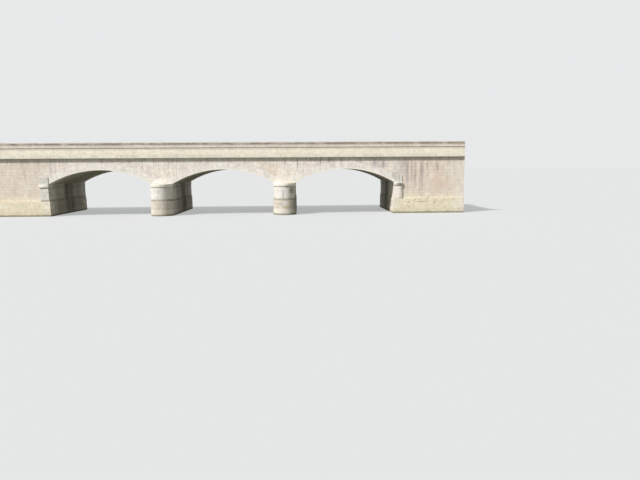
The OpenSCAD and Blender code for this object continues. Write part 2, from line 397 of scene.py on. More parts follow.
@weathering
def grime_and_shade_under_arches(f, at, stone, strength):
    """Damp grime and painted shade on the walls between the two faces, darker the deeper under the
    arch, where the sun and rain don't reach.
    """
    away = f.absolute(f.parts(at)[1])
    streaks = f.noise(f.stretch(at, 1.0, 1.6, 0.25), 1.0, detail=5.0, roughness=0.6)
    dark = f.mix(f.ramp(streaks, 0.40, 0.62), (0.14, 0.145, 0.12), (0.34, 0.34, 0.28))
    away = away + (streaks - 0.5) * 0.5
    inside = f.ramp(away, HALF_W - 0.5, HALF_W - 1.5) * 0.4 + f.ramp(away, 1.2, 0.4) * 0.6
    return f.mix(inside * strength, stone, dark)


@weathering
def over_abutments(f, at, stone, tan, pink, low_colour, quoin_colour):
    """Warmer stone over the abutments, yellower near the water, and pale corner stones."""
    x, _, z = f.parts(at)
    x = f.absolute(x)
    clouds = f.noise(f.shift(at, (3.0, 19.0, 8.0)), 0.8, detail=4.0)
    warm = f.mix(f.ramp(clouds, 0.42, 0.62), tan, pink)
    warm = f.mix(f.ramp(z + clouds * 1.2, 2.5, 1.7), warm, low_colour)
    inland = f.ramp(x + (clouds - 0.5) * 1.6, ABUTMENT_X - 0.8, ABUTMENT_X + 1.0)
    corner = f.ramp(x, END_X - QUOIN_LONG - 0.1, END_X - QUOIN_SHORT)
    stone = f.mix(inland * 0.75, stone, warm)
    return f.mix(corner * 0.5, stone, quoin_colour)


# Stone finishes

# How much the mottling lightens and darkens a stone
MOTTLING = 0.42
# Dust on what faces up, and painted shade that tones down the sunlit tops
DUST_AND_SHADE = (0.40, 0.375, 0.29)


def stone_finish(name, pale, warm, cool, patches=0.45, tones=0.16, joints=0.1, shade=1.0,
                 weather=()):
    """Limestone: warm and cool clouds, a tone to each stone, mottling, small pits, then weather.

    joints darkens the edges of each stone, and shade all of it.
    """
    f = Finish(name, Specular_IOR_Level=0.25)
    at = f.place()
    tone = f.attribute("tone")
    blush = f.attribute("blush")
    clouds = f.noise(at, 0.55, detail=3.0)
    other_clouds = f.noise(f.shift(at, (31.0, 7.0, 3.0)), 0.9, detail=3.0)
    warmth = f.ramp(clouds * 0.7 + blush * 0.3, 0.42, 0.64) * patches
    coolness = f.ramp(other_clouds * 0.75 + tone * 0.25, 0.50, 0.70) * patches
    colour = f.mix(coolness, f.mix(warmth, pale, warm), cool)

    worn = f.noise(f.shift(at, (5.0, 11.0, 2.0)), 2.4, detail=5.0, roughness=0.6)
    mottle = f.noise(at, 9.0, detail=5.0, roughness=0.65)
    speckle = f.noise(at, 70.0, detail=3.0, roughness=0.7)
    blotch = f.noise(f.shift(at, (17.0, 2.0, 23.0)), 5.0, detail=3.0, roughness=0.6)
    light = 1.0 - tones / 2 + tone * tones + (speckle - 0.5) * 0.10
    light = light + (worn + blotch + mottle - 1.5) * MOTTLING
    colour = f.multiply(colour, light)
    pits = f.ramp(f.noise(at, 34.0, detail=2.0), 0.64, 0.74)
    colour = f.mix(pits * 0.3, colour, (0.38, 0.34, 0.29))
    # Dust, and painted shade on the sunlit tops, on what faces up
    upward = f.height(f.node("TexCoord", output="Normal"))
    dusty_and_shaded = f.ramp(upward, 0.55, 0.95) * (0.35 + f.ramp(worn, 0.40, 0.60) * 0.5)
    colour = f.mix(dusty_and_shaded, colour, DUST_AND_SHADE)
    for lay_over in weather:
        colour = lay_over(f, at, colour)

    f.colour(f.multiply(colour, shade - f.attribute("edge") * joints))
    f.roughness(0.84 + (mottle - 0.5) * 0.2)
    f.bump(mottle * 0.7 + speckle * 0.14 - pits * 0.5, 0.006)
    return f.material


def masonry(name, *colours, joints, **settings):
    """The finish of the stones of a wall, and a darker one for the pointing between them."""
    MATERIALS[name] = stone_finish(name + "_stone", *colours, joints=joints / 2, **settings)
    mortar = stone_finish(name + "_mortar", *colours, shade=1 - joints, **settings)
    MATERIALS[name + "_mortar"] = mortar


def rubble_finish(name):
    """Earth and broken stone, packed between the walls."""
    f = Finish(name, Specular_IOR_Level=0.2, Roughness=0.95)
    at = f.place()
    cells = f.node("TexVoronoi", inputs={"Vector": at, "Scale": 5.0})
    clods = f.noise(at, 6.0, detail=6.0, roughness=0.65)
    colour = f.mix(f.ramp(clods, 0.4, 0.62), (0.23, 0.18, 0.12), (0.42, 0.36, 0.27))
    colour = f.mix(f.ramp(cells, 0.16, 0.10) * 0.7, colour, (0.56, 0.50, 0.40))
    f.colour(colour)
    f.bump(clods * 1.2 - cells * 0.8, 0.03)
    return f.material


def road_finish(name):
    """Worn grey road surface: fine chippings, two smoother wheel tracks a side, dusty edges."""
    f = Finish(name, Specular_IOR_Level=0.35)
    at = f.place()
    away = f.absolute(f.parts(at)[1])
    lane = f.absolute(away - KERB_IN / 2)
    track = f.ramp(f.absolute(lane - 0.72), 0.34, 0.10)
    chips = f.noise(at, 120.0, detail=2.0, roughness=0.7)
    patches = f.noise(f.stretch(at, 0.35, 1.2, 1.0), 1.0, detail=5.0)
    dust = f.ramp(away + (patches - 0.5) * 0.5, KERB_IN - 0.5, KERB_IN)
    colour = f.mix(f.ramp(patches, 0.35, 0.65), (0.19, 0.185, 0.175), (0.22, 0.215, 0.20))
    colour = f.mix(track * 0.45, colour, (0.15, 0.148, 0.142))
    colour = f.mix(dust * 0.6, colour, (0.42, 0.38, 0.31))
    f.colour(f.multiply(colour, 0.7 + chips * 0.6))
    f.roughness(0.9 - track * 0.14)
    f.bump(chips, 0.006)
    return f.material


# Marks on the front, in metres along the bridge and up from the water. A mark has its place, its
# top, its bottom and its width, and a patch its middle, its half width and its half height.
SPANDREL_MARKS = (
    (4.95, 4.7, 3.7, 0.14), (5.95, 4.7, 3.5, 0.14), (6.65, 4.7, 4.0, 0.10), (7.0, 4.7, 4.0, 0.10),
    (7.78, 4.7, 3.75, 0.16), (8.5, 4.7, 3.9, 0.16), (12.2, 4.5, 3.6, 0.20), (12.9, 4.4, 3.4, 0.18),
)
ABUTMENT_MARKS = (
    (14.85, 4.3, 1.3, 0.26), (15.45, 4.2, 1.2, 0.22), (16.0, 4.2, 0.8, 0.30),
    (16.5, 4.3, 2.6, 0.14), (15.2, 4.2, 2.2, 0.12), (17.3, 4.2, 2.8, 0.16),
)
# Run-off down the springer stone and the pilaster under it, grime beside the arch, and painted shade
# on the pilaster's cap
SPRINGER_MARKS = ((14.18, 3.4, 2.3, 0.15), (13.85, 3.4, 2.6, 0.18), (14.35, 2.3, 1.5, 0.10))
SPRINGER_GRIME = ((13.85, 2.85, 0.2, 0.3),)
RING_FOOT_GRIME = ((13.85, 3.08, 0.3, 0.3),)
# Painted shade on the pilaster's cap, dark as the shadow under it
PILASTER_CAP_SHADE = ((14.27, 2.37, 0.35, 0.14),)
# Pale lime on the pilaster, and the brown run-off beside it
PILASTER_PALE = ((13.97, 1.62, 0.34, 1.0), (13.85, 0.3, 0.25, 0.4))
PILASTER_BROWN = ((14.33, 1.5, 0.12, 0.55), (14.25, 0.85, 0.14, 0.2))
TAN_PATCHES = ((3.95, 3.65, 0.5, 0.65),)
PINK_PATCHES = ((17.5, 2.5, 0.75, 0.6), (17.0, 3.5, 0.9, 0.6))
LILAC_PATCHES = ((14.3, 3.55, 0.6, 0.75), (12.6, 4.0, 0.9, 0.4))
PLINTH_STAINS = ((16.0, 0.93, 0.5, 0.05), (14.95, 0.88, 0.16, 0.07), (16.6, 1.25, 0.12, 0.07))
# On the pier at the right: pale patches of the nose, partly painted light where it turns from the
# sun, dirty and dark patches, the dark ones partly painted shade on its shaded side, its open joint
# and its moss
# Pale stone, and painted light on the side of the nose turned from the sun
PIER_PALE_AND_PAINTED_LIGHT = ((4.8, 0.26, 0.9, 0.26), (5.08, 1.75, 0.2, 0.5), (4.95, 0.98, 0.3, 0.2))
PIER_DIRT = ((4.5, 0.85, 0.35, 0.16),)
# Damp stone, and painted shade on the shaded side of the nose and under its cap
PIER_DAMP_AND_PAINTED_SHADE = ((5.78, 0.65, 0.34, 0.8), (5.45, 2.0, 0.22, 0.34), (5.1, 2.3, 0.2, 0.17))
PIER_JOINT = ((4.79, 1.58, 0.04, 0.48),)
PIER_MOSS = ((5.1, 0.6, 0.26, 0.14),)
PIER_CAP_MOSS = ((5.35, 2.6, 0.3, 0.1),)

MATERIALS = {}


def make_wall_finishes():
    masonry(
        "wall", (0.86, 0.79, 0.72), (0.85, 0.73, 0.655), (0.76, 0.71, 0.69), patches=0.6,
        tones=0.24, joints=0.14,
        weather=[
            over_abutments(
                (0.745, 0.65, 0.545), (0.74, 0.605, 0.505), (0.82, 0.74, 0.555), (0.82, 0.77, 0.68)
            ),
            front_patches(TAN_PATCHES, 0.5, (0.78, 0.63, 0.48)),
            front_patches(PINK_PATCHES, 0.5, (0.74, 0.57, 0.45)),
            front_patches(LILAC_PATCHES, 0.7, (0.56, 0.515, 0.51)),
            spots(PLINTH_Z, STRING_Z, 0.4, (0.76, 0.66, 0.66), (0.92, 0.88, 0.77), scale=1.2),
            spots(PLINTH_Z, STRING_Z, 0.5, (0.63, 0.545, 0.505), (0.95, 0.89, 0.83), scale=3.4),
            run_off(STRING_Z, 1.7, 0.4),
            drips(STRING_Z, 3.0, 0.6),
            # Grime, and painted shadow that lengthens the string course's own, under the string
            # course
            band(STRING_Z - 0.2, STRING_Z, 0.1, 0.35, (0.42, 0.37, 0.35), 0.4),
            front_marks(SPANDREL_MARKS, 0.85),
            front_marks(ABUTMENT_MARKS, 0.65),
            spots(0.0, PLINTH_Z, 0.75, (0.54, 0.475, 0.36), (0.95, 0.89, 0.79), scale=3.0),
            front_patches(PLINTH_STAINS, 0.6, (0.36, 0.31, 0.24)),
            lichen(0.10, (0.42, 0.40, 0.33), 0.5),
            water_line(0.8),
        ],
    )
    masonry(
        "ring", (0.86, 0.81, 0.765), (0.85, 0.765, 0.71), (0.78, 0.74, 0.725), patches=0.4,
        joints=0.16,
        weather=[
            spots(SPRINGING_Z, STRING_Z, 0.5, (0.76, 0.67, 0.68), (0.92, 0.89, 0.79), scale=1.2),
            spots(SPRINGING_Z, STRING_Z, 0.5, (0.62, 0.56, 0.54), (0.95, 0.90, 0.86), scale=3.4),
            run_off(STRING_Z, 1.9, 0.15),
            drips(STRING_Z, 2.4, 0.45),
            front_marks(SPANDREL_MARKS, 0.8),
            front_patches(LILAC_PATCHES, 0.6, (0.56, 0.515, 0.51)),
            front_patches(RING_FOOT_GRIME, 0.75, (0.50, 0.46, 0.41)),
            washed_arris(),
        ],
    )
    # The vault is darker than the ring: damp stone, and painted shade under the arches
    masonry(
        "vault", (0.54, 0.50, 0.42), (0.46, 0.40, 0.31), (0.36, 0.36, 0.31), patches=0.6,
        tones=0.3, joints=0.3, weather=[lichen(0.3, (0.20, 0.21, 0.15), 0.6)],
    )


def make_pier_finishes():
    masonry(
        "pier", (0.72, 0.69, 0.655), (0.70, 0.645, 0.59), (0.63, 0.615, 0.595), patches=0.35,
        joints=0.3,
        weather=[
            band(0.0, 0.45, 0.15, 0.6, (0.78, 0.71, 0.64), 0.25),
            band(0.5, PLINTH_Z, 0.1, 0.9, (0.60, 0.53, 0.45), 0.25),
            spots(0.0, SPRINGING_Z, 0.35, (0.46, 0.40, 0.33), (0.90, 0.86, 0.82)),
            run_off(CAP_Z, 0.8, 0.1),
            band(CAP_Z - 0.05, CAP_Z + 0.03, 0.03, 0.55, (0.30, 0.28, 0.22), 0.4),
            band(PLINTH_Z - 0.01, PLINTH_Z + 0.12, 0.03, 0.75, (0.32, 0.29, 0.21), 0.5),
            front_marks(SPRINGER_MARKS, 0.8),
            front_patches(SPRINGER_GRIME, 0.5, (0.55, 0.50, 0.45)),
            front_patches(PILASTER_PALE, 0.85, (0.97, 0.89, 0.81)),
            front_patches(PILASTER_BROWN, 0.5, (0.62, 0.54, 0.42)),
            # Pale stone and painted light on the nose
            front_patches(PIER_PALE_AND_PAINTED_LIGHT, 0.6, (0.84, 0.79, 0.765)),
            front_patches(PIER_DIRT, 0.5, (0.50, 0.45, 0.38)),
            front_patches(PIER_MOSS, 0.7, (0.57, 0.54, 0.27), grain=6.0),
            # Damp stone and painted shade on the shaded side of the nose
            front_patches(PIER_DAMP_AND_PAINTED_SHADE, 0.75, (0.28, 0.28, 0.22)),
            front_patches(PIER_JOINT, 0.6, (0.30, 0.26, 0.22)),
            lichen(0.10, (0.42, 0.41, 0.32), 0.5),
            # Damp grime and painted shade under the arches
            grime_and_shade_under_arches(0.88),
            water_line(0.8),
        ],
    )
    MATERIALS["cap"] = stone_finish(
        "cap_stone", (0.82, 0.785, 0.715), (0.76, 0.69, 0.58), (0.66, 0.65, 0.60), patches=0.4,
        weather=[
            lichen(0.22, (0.40, 0.39, 0.30), 0.6),
            front_patches(PIER_CAP_MOSS, 0.6, (0.52, 0.50, 0.27), grain=6.0),
            # Painted shade on the pilaster's cap
            front_patches(PILASTER_CAP_SHADE, 0.85, (0.25, 0.23, 0.18)),
        ],
    )


def make_parapet_finishes():
    MATERIALS["string"] = stone_finish(
        "string_stone", (0.765, 0.72, 0.63), (0.74, 0.665, 0.57), (0.66, 0.64, 0.55), patches=0.4,
        joints=0.2,
        weather=[
            lichen(0.12, (0.46, 0.44, 0.31), 0.5),
            band(STRING_Z - 0.1, STRING_Z + 0.01, 0.045, 0.8, (0.32, 0.30, 0.19), 0.35),
        ],
    )
    MATERIALS["parapet"] = stone_finish(
        "parapet_stone", (0.88, 0.82, 0.71), (0.865, 0.775, 0.67), (0.80, 0.755, 0.665), patches=0.5,
        tones=0.06, joints=0.2,
        weather=[
            band(PARAPET_Z, PARAPET_Z + 0.08, 0.14, 0.4, (0.66, 0.61, 0.50), 0.5),
            # Painted shadow and some dirt under the coping
            band(COPING_Z - 0.16, COPING_Z, 0.06, 0.42, (0.48, 0.43, 0.37), 0.3),
            lichen(0.06, (0.55, 0.52, 0.42), 0.4),
        ],
    )
    MATERIALS["coping"] = stone_finish(
        "coping_stone", (0.76, 0.68, 0.61), (0.74, 0.61, 0.55), (0.62, 0.58, 0.54), patches=0.5,
        joints=0.3,
        weather=[
            dark_crest(0.95, (0.17, 0.152, 0.105)),
            lichen(0.2, (0.46, 0.43, 0.34), 0.5),
        ],
    )


def make_road_finishes():
    MATERIALS["kerb"] = stone_finish(
        "kerb_stone", (0.56, 0.54, 0.50), (0.52, 0.47, 0.40), (0.42, 0.41, 0.40), joints=0.3,
    )
    masonry(
        "flag", (0.60, 0.56, 0.48), (0.55, 0.48, 0.38), (0.44, 0.43, 0.40), tones=0.25, joints=0.4,
        weather=[lichen(0.2, (0.3, 0.3, 0.24), 0.5)],
    )
    MATERIALS["fill"] = stone_finish(
        "rubble_fill_stone", (0.55, 0.49, 0.40), (0.48, 0.38, 0.28), (0.36, 0.33, 0.30),
        patches=0.8, tones=0.3,
    )
    MATERIALS["rubble"] = rubble_finish("packed_fill")
    MATERIALS["road"] = road_finish("road_surface")


def make_materials():
    make_wall_finishes()
    make_pier_finishes()
    make_parapet_finishes()
    make_road_finishes()


# Blocks that are modelled once and copied to every stone


def deselect_all():
    if bpy.context.mode != "OBJECT":
        bpy.ops.object.mode_set(mode="OBJECT")
    bpy.ops.object.select_all(action="DESELECT")


def select_only(*pieces):
    deselect_all()
    for piece in pieces:
        piece.select_set(True)
    bpy.context.view_layer.objects.active = pieces[0]


def start_editing(piece):
    """Edit mode, with all of the piece selected."""
    select_only(piece)
    bpy.ops.object.mode_set(mode="EDIT")
    bpy.ops.mesh.select_all(action="SELECT")


def select_edges_along(piece, axis, chosen):
    """Selects, in edit mode, the edges along an axis whose middle satisfies the test."""
    bpy.ops.mesh.select_all(action="DESELECT")
    bpy.ops.mesh.select_mode(type="EDGE")
    bpy.ops.object.mode_set(mode="OBJECT")
    for edge in piece.data.edges:
        first, last = (piece.data.vertices[i].co for i in edge.vertices)
        across = [abs(a - b) for i, (a, b) in enumerate(zip(first, last)) if i != axis]
        edge.select = max(across) < 1e-5 and chosen((first + last) / 2)
    bpy.ops.object.mode_set(mode="EDIT")


class Block:
    """A modelled stone, kept as corners and faces about its own centre, with its own size."""

    def __init__(self, size, rim, cuts=(0, 0, 0), shape=None, bevel=None):
        """rim is the width along every edge that keeps its size when the block is resized."""
        deselect_all()
        bpy.ops.mesh.primitive_cube_add(size=1.0, scale=size)
        piece = bpy.context.object
        bpy.ops.object.transform_apply(location=False, rotation=False, scale=True)
        bpy.ops.object.mode_set(mode="EDIT")
        if shape:
            shape(piece)
        bpy.ops.mesh.select_all(action="SELECT")
        if bevel:
            bpy.ops.mesh.bevel(offset=bevel, segments=1, affect="EDGES")
        for axis, count in enumerate(cuts):
            normal = [float(i == axis) for i in range(3)]
            for i in range(count):
                place = size[axis] * ((i + 1) / (count + 1) - 0.5)
                bpy.ops.mesh.select_all(action="SELECT")
                bpy.ops.mesh.bisect(plane_co=[place * n for n in normal], plane_no=normal)
        bpy.ops.object.mode_set(mode="OBJECT")
        self.size = np.array(size)
        self.rim = rim
        self.corners = np.array([v.co for v in piece.data.vertices])
        # Sorted, because Blender gives some faces in another order from run to run
        self.faces = sorted(list(p.vertices) for p in piece.data.polygons)
        bpy.data.meshes.remove(piece.data)

    def resized(self, sizes):
        """Corners for each wanted size; the rims keep their width and the rest is stretched."""
        p = self.corners[None]
        half, wanted = self.size / 2, np.asarray(sizes)[:, None, :] / 2
        rim = np.minimum(self.rim, half)
        inner = half - rim
        near_edge = np.abs(p) > inner + 1e-7
        kept = np.sign(p) * (wanted - (half - np.abs(p)))
        stretched = p / np.maximum(inner, 1e-9) * (wanted - rim)
        return np.where(near_edge, kept, stretched)


def chamfered_lip(piece):
    """The upper outer edge of a string-course stone: U along, V up, W out of the wall."""
    top, out = (max(v.co[i] for v in piece.data.vertices) for i in (1, 2))
    select_edges_along(piece, 0, lambda co: co.y > top - 1e-4 and co.z > out - 1e-4)
    bpy.ops.mesh.bevel(offset=CHAMFER, segments=1, affect="EDGES")


def round_back(piece):
    """The half-round back of a coping stone, over its upright edges."""
    top, out = (max(v.co[i] for v in piece.data.vertices) for i in (1, 2))
    select_edges_along(piece, 0, lambda co: co.y > top - 1e-4 and abs(co.z) > out - 1e-4)
    # The two rounds stop just short of each other, and their last corners are merged
    bpy.ops.mesh.bevel(offset=out * 0.9999, segments=10, affect="EDGES")
    bpy.ops.mesh.select_all(action="SELECT")
    bpy.ops.mesh.remove_doubles(threshold=0.0005)


def model_blocks():
    string_size = (1.1, PARAPET_Z - STRING_Z, STRING_OUT - INNER_W)
    coping_size = (1.1, TOP_Z - COPING_Z, COPING_OUT - COPING_IN)
    return {
        "ashlar": Block((1, 1, 1), ARRIS, cuts=(3, 1, 0), bevel=ARRIS),
        "long": Block((1, 1, 1), ARRIS, cuts=(9, 1, 0), bevel=ARRIS),
        "rubble": Block((1, 1, 1), RUBBLE_ARRIS, cuts=(3, 2, 0), bevel=RUBBLE_ARRIS),
        "corner": Block((1, 1, 1), ARRIS, cuts=(1, 1, 1), bevel=ARRIS),
        "string": Block(
            string_size, CHAMFER + ARRIS, cuts=(4, 0, 0), shape=chamfered_lip, bevel=ARRIS * 0.7
        ),
        "coping": Block(coping_size, ARRIS, cuts=(4, 0, 0), shape=round_back),
    }


# Setting out: stones are boxes (u0, u1, v0, v1, w0, w1); u along, v up, w out of the face


def levels(rng, low, high, height, vary=0.1):
    """The foot and the head of each course between low and high."""
    count = max(1, round((high - low) / height))
    cuts = np.linspace(low, high, count + 1)
    cuts[1:-1] += rng.uniform(-vary, vary, count - 1) * (high - low) / count
    return list(zip(cuts[:-1], cuts[1:]))


def half_bond(course):
    """The first stone of a course: a whole one and a half one by turns."""
    return 1.0 - 0.5 * (course % 2)


def lengths(rng, start, end, length, phase, vary):
    """The start and the end of each stone in a line; the first one is phase of a stone long."""
    if end - start < length * 0.75:
        return [(start, end)]
    count = max(1, round((end - start) / length))
    pitch = (end - start) / count
    cuts = start + pitch * (np.arange(count) + phase)
    cuts = cuts[cuts < end - 0.35 * pitch]
    cuts = cuts + rng.uniform(-vary, vary, len(cuts)) * pitch
    cuts = np.concatenate(([start], cuts, [end]))
    return list(zip(cuts[:-1], cuts[1:]))


def box(u0, u1, v0, v1, joint, depth, out=0.0):
    """A stone with half a joint taken off along each edge."""
    half = joint / 2
    return (u0 + half, u1 - half, v0 + half, v1 - half, out - depth, out)


def coursed(rng, courses, span_at, joint, length, depth=STONE_DEPTH, vary=0.18, split=0.0, out=0.0):
    """Stones in level courses; span_at(low, high) says from where to where a course runs.

    vary is how far the upright joints stray, as a share of a stone, and split is the share of the
    stones that are two thin ones.
    """
    stones = []
    for i, (v0, v1) in enumerate(courses):
        start, end = span_at(v0, v1)
        for u0, u1 in lengths(rng, start, end, length, half_bond(i), vary):
            if split and rng.random() < split:
                middle = v0 + (v1 - v0) * rng.uniform(0.4, 0.6)
                stones.append(box(u0, u1, v0, middle, joint, depth, out))
                stones.append(box(u0, u1, middle, v1, joint, depth, out))
            else:
                stones.append(box(u0, u1, v0, v1, joint, depth, out))
    return stones


# Where the stones go: each returns a function from (u, v, w) to (x, y, z)


def on_wall(face, side=1):
    """Front or back wall."""
    return lambda u, v, w: (side * u, face * (HALF_W + w), v)


def on_end(side):
    """End of the bridge, u from the front to the back."""
    return lambda u, v, w: (side * (END_X + w), u, v)


def lean(z):
    """How far a leaning face stands out at a height, from where it is at the springing."""
    return (SPRINGING_Z - z) * BATTER


def on_abutment(side, proud=0.0):
    """Leaning inner face of an abutment."""
    return lambda u, v, w: (side * (ABUTMENT_X - lean(v) - proud - w), u, v)


def on_pilaster(side, face, outer_x, proud=0.0):
    """Corner of an abutment: upright on its outer side, leaning with the abutment's face."""
    def place(u, v, w):
        share = np.clip((outer_x - u) / (outer_x - ABUTMENT_X), 0, 1)
        return side * (u - (lean(v) + proud) * share), face * (HALF_W + w), v
    return place


def round_pier(side, proud=0.0):
    """Round a pier from the left of its front nose: nose, right flank, nose, left flank."""
    def place(u, v, w):
        out = PIER_HALF + lean(v) + proud + w
        u = np.mod(u, 2 * (NOSE_RUN + FLANK_RUN))
        half_turn = u >= NOSE_RUN + FLANK_RUN
        u = np.where(half_turn, u - NOSE_RUN - FLANK_RUN, u)
        turn = pi + np.minimum(u, NOSE_RUN) / PIER_HALF
        run = np.maximum(u - NOSE_RUN, 0.0)
        x = out * np.cos(turn)
        y = out * np.sin(turn) - HALF_W + run
        flip = np.where(half_turn, -1.0, 1.0)
        return side * PIER_X + flip * x, flip * y, v
    return place


def between_feet(side, face):
    """Between the feet of two rings; u is a share of the half width, which narrows upwards."""
    def place(u, v, w):
        half = PIER_HALF - (v - SPRINGING_Z) / SKEW_RISE * SKEW_RUN
        return side * PIER_X + u * half, face * (HALF_W + w), v
    return place


def on_soffit(arch):
    """Underside of an arch: u round the arch, v across the road, w down."""
    def place(u, v, w):
        r = SOFFIT_R - w
        return arch * PITCH + r * np.sin(u / SOFFIT_R), v, ARCH_Z + r * np.cos(u / SOFFIT_R)
    return place


def on_ring(arch, face):
    """Face of an arch ring: u round the soffit, v out along the radius."""
    def place(u, v, w):
        r = SOFFIT_R + v
        turn = u / SOFFIT_R
        return arch * PITCH + r * np.sin(turn), face * (HALF_W + w), ARCH_Z + r * np.cos(turn)
    return place


def on_footway(face):
    """Top of a footway: u along the road, v across it."""
    return lambda u, v, w: (u, face * v, FOOTWAY_Z + w)


# Laying


def lay(finish, block, stones, place, rng, rough=0.0015, wobble=0.001, pillow=0.0, jitter=0.001,
        recess=RECESS, lowest=None):
    """Copies a block to each stone's box, weathers the copies and carries them to their places.

    lowest gives the level along the wall below which no stone may reach, such as a ring's back.
    """
    boxes = np.array(stones)
    centre = (boxes[:, 1::2] + boxes[:, 0::2]) / 2
    count, corners = len(boxes), len(block.corners)
    local = block.resized(boxes[:, 1::2] - boxes[:, 0::2])

    shape = block.corners / (block.size / 2)
    front = shape[:, 2] > 1 - 1e-4
    rim = (np.abs(shape[:, :2]) > 1 - 2.5 * block.rim / block.size[:2]).any(axis=1)
    wear = np.abs(rng.normal(0, rough, (count, corners)))
    wear += pillow * (np.abs(shape[:, 0]) ** 4 + np.abs(shape[:, 1]) ** 4) / 2
    wear += rng.uniform(0, jitter, (count, 1))
    local[:, :, 2] -= np.minimum(wear, recess - 0.001) * front
    local[:, rim, :2] += rng.normal(0, wobble, (count, rim.sum(), 2))

    world = local + centre[:, None, :]
    if lowest:
        low, high = boxes[:, None, 2], boxes[:, None, 3]
        floor = np.maximum(lowest(world[..., 0]), low)
        world[..., 1] = floor + (world[..., 1] - low) / (high - low) * (high - floor)
    x, y, z = place(world[..., 0].ravel(), world[..., 1].ravel(), world[..., 2].ravel())
    points = np.clip(np.stack(np.broadcast_arrays(x, y, z), axis=-1), cad_low, cad_high)

    faces = block.faces
    if signed_volume(points[:corners], faces) < 0:
        faces = [face[::-1] for face in faces]
    every = [[i * corners + corner for corner in face] for i in range(count) for face in faces]
    mesh = bpy.data.meshes.new("stones")
    mesh.from_pydata(points.tolist(), [], every)
    add_layer(mesh, "tone", "FACE", np.clip(rng.normal(0.5, 0.22, count), 0, 1).repeat(len(faces)))
    add_layer(mesh, "blush", "FACE", rng.random(count).repeat(len(faces)))
    add_layer(mesh, "edge", "POINT", np.tile(~front, count))
    mesh.update()
    return new_piece("stones", mesh, finish)


def add_layer(mesh, label, domain, values):
    """Puts a number on each face or point, for the finishes to read."""
    layer = mesh.attributes.get(label) or mesh.attributes.new(label, "FLOAT", domain)
    layer.data.foreach_set("value", np.asarray(values, np.float32))


def add_tones(piece, tone):
    """Gives a part that isn't laid from blocks the layers that the finishes read."""
    mesh = piece.data
    for label in ("tone", "blush"):
        add_layer(mesh, label, "FACE", np.full(len(mesh.polygons), tone))
    add_layer(mesh, "edge", "POINT", np.zeros(len(mesh.vertices)))


def signed_volume(points, faces):
    """Six times the volume inside the faces, negative where they point inwards."""
    total = 0.0
    for face in faces:
        a = points[face[0]]
        for i in range(1, len(face) - 1):
            total += float(np.dot(a, np.cross(points[face[i]], points[face[i + 1]])))
    return total


def new_piece(name, mesh, finish):
    mesh.materials.clear()
    mesh.materials.append(MATERIALS[finish])
    piece = bpy.data.objects.new(name, mesh)
    bpy.context.scene.collection.objects.link(piece)
    return piece


def copy_of_node(node, finish, merge=0.0002, dissolve=None):
    """A clean copy of a node's solid, for cutting and drawing in."""
    piece = new_piece(node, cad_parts[node].data.copy(), finish)
    start_editing(piece)
    bpy.ops.mesh.remove_doubles(threshold=merge)
    if dissolve:
        bpy.ops.mesh.dissolve_limited(angle_limit=dissolve)
    bpy.ops.mesh.normals_make_consistent(inside=False)
    bpy.ops.object.mode_set(mode="OBJECT")
    return piece


def bed_behind(node, finish, draw_in):
    """The mortar: a node's solid with its shown faces drawn in behind the stones."""
    piece = copy_of_node(node, finish)
    points = np.array([v.co for v in piece.data.vertices])
    draw_in(points)
    piece.data.vertices.foreach_set("co", points.astype(np.float32).ravel())
    add_tones(piece, 0.5)
    piece.data.update()
    return piece


def behind_walls(points):
    """Draws in the front, the back and the ends."""
    for axis, face in ((0, END_X), (1, HALF_W)):
        points[:, axis] = np.clip(points[:, axis], RECESS - face, face - RECESS)


def seat(name, slot_name, nodes, *parts, angle=14.0):
    """Joins the parts of a piece and puts it in the place of its nodes in the frame."""
    select_only(*parts)
    if len(parts) > 1:
        bpy.ops.object.join()
    piece = parts[0]
    piece.name = name
    piece.data.name = name
    bpy.ops.object.shade_smooth_by_angle(angle=radians(angle))
    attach(piece, "root")
    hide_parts(*nodes)


def seat_on_bed(node, slot_name, mortar, draw_in, *parts):
    """Seats the stones of a node, with the mortar behind them."""
    seat(node + "_stones", slot_name, [node], *parts, bed_behind(node, mortar, draw_in))


# Piers


def drawn_in_pier(side, proud, top):
    """Draws a pier's solid in, twice as deep as a wall, and lowers its top where it is a ledge."""
    def draw(points):
        x, y, z = points.T
        away = x - side * PIER_X
        beyond = np.clip(np.abs(y) - HALF_W, 0, None)
        limit = PIER_HALF + lean(z) + proud - 2 * RECESS
        shrink = np.minimum(1.0, limit / np.maximum(np.hypot(away, beyond), 1e-6))
        points[:, 0] = side * PIER_X + away * shrink
        points[:, 1] = np.sign(y) * (np.minimum(np.abs(y), HALF_W) + beyond * shrink)
        points[:, 2] = np.minimum(z, top)
    return draw


